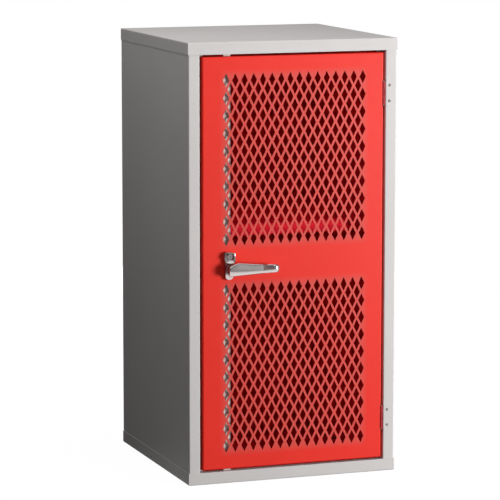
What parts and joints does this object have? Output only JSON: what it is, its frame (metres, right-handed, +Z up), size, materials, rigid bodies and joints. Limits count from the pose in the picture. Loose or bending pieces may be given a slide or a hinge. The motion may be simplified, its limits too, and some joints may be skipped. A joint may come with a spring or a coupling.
{
  "type": "mesh door cabinet",
  "caption": "Small steel storage cabinet with one hinged door of diamond-perforated sheet, an inner shelf, a lever handle with a key lock, and rods that lock the door at top and bottom.",
  "frame": {"origin": "centre of the footprint on the base's underside, without the handle", "axes": "+X to the right seen from the front, +Y from the front to the back, +Z up"},
  "size_m": [0.4518, 0.478, 0.9],
  "materials": {
    "frame_paint": "light grey baked powder coat with a soft sheen",
    "door_paint": "bright red baked powder coat with a soft sheen",
    "zinc": "bright zinc plating",
    "chrome": "polished chrome"
  },
  "bodies": {
    "carcass": {"top_tray": "frame_paint", "base_tray": "frame_paint", "left_side": "frame_paint", "right_side": "frame_paint", "back_panel": "frame_paint", "shelf": "door_paint", "left_shelf_rail": "door_paint", "right_shelf_rail": "door_paint", "base_rivets": "zinc", "upper_hinge_frame_leaf": "door_paint", "lower_hinge_frame_leaf": "door_paint", "hinge_rivets": "zinc", "upper_hinge_pin": "zinc", "lower_hinge_pin": "zinc"},
    "door": {"door_panel": "door_paint", "upper_hinge_door_leaf": "door_paint", "lower_hinge_door_leaf": "door_paint", "handle_plate": "chrome", "handle_plate_screws": "zinc", "lock_barrel": "chrome", "lock_barrel_nut": "zinc", "lock_bracket": "zinc"},
    "plug": {"lock_plug": "zinc"},
    "handle": {"lever": "chrome", "spindle": "zinc", "drive_cam": "zinc", "spindle_spacer": "zinc", "latch_tongue": "zinc", "spindle_nut": "zinc"},
    "upper_rod": {"upper_rod": "zinc"},
    "lower_rod": {"lower_rod": "zinc"}
  },
  "joints": [
    {"name": "door_hinge", "type": "hinge", "parent": "carcass", "child": "door", "pos_m": [0.196, -0.222, 0.45], "axis": [0, 0, 1], "range_deg": [0, 110]},
    {"name": "handle_turn", "type": "hinge", "parent": "door", "child": "handle", "pos_m": [-0.141, -0.23, 0.4435], "axis": [0, 1, 0], "range_deg": [0, 90]},
    {"name": "upper_rod_slide", "type": "slide", "parent": "door", "child": "upper_rod", "axis": [0, 0, 1], "range_m": [0, 0.01556]},
    {"name": "lower_rod_slide", "type": "slide", "parent": "door", "child": "lower_rod", "axis": [0, 0, -1], "range_m": [0, 0.01556]},
    {"name": "plug_turn", "type": "hinge", "parent": "door", "child": "plug", "pos_m": [-0.141, -0.23, 0.468], "axis": [0, 1, 0], "range_deg": [0, 90]}
  ],
  "couplings": [
    {"joint": "upper_rod_slide", "follows": "handle_turn", "m_per_rad": 0.0099},
    {"joint": "lower_rod_slide", "follows": "handle_turn", "m_per_rad": 0.0099}
  ]
}
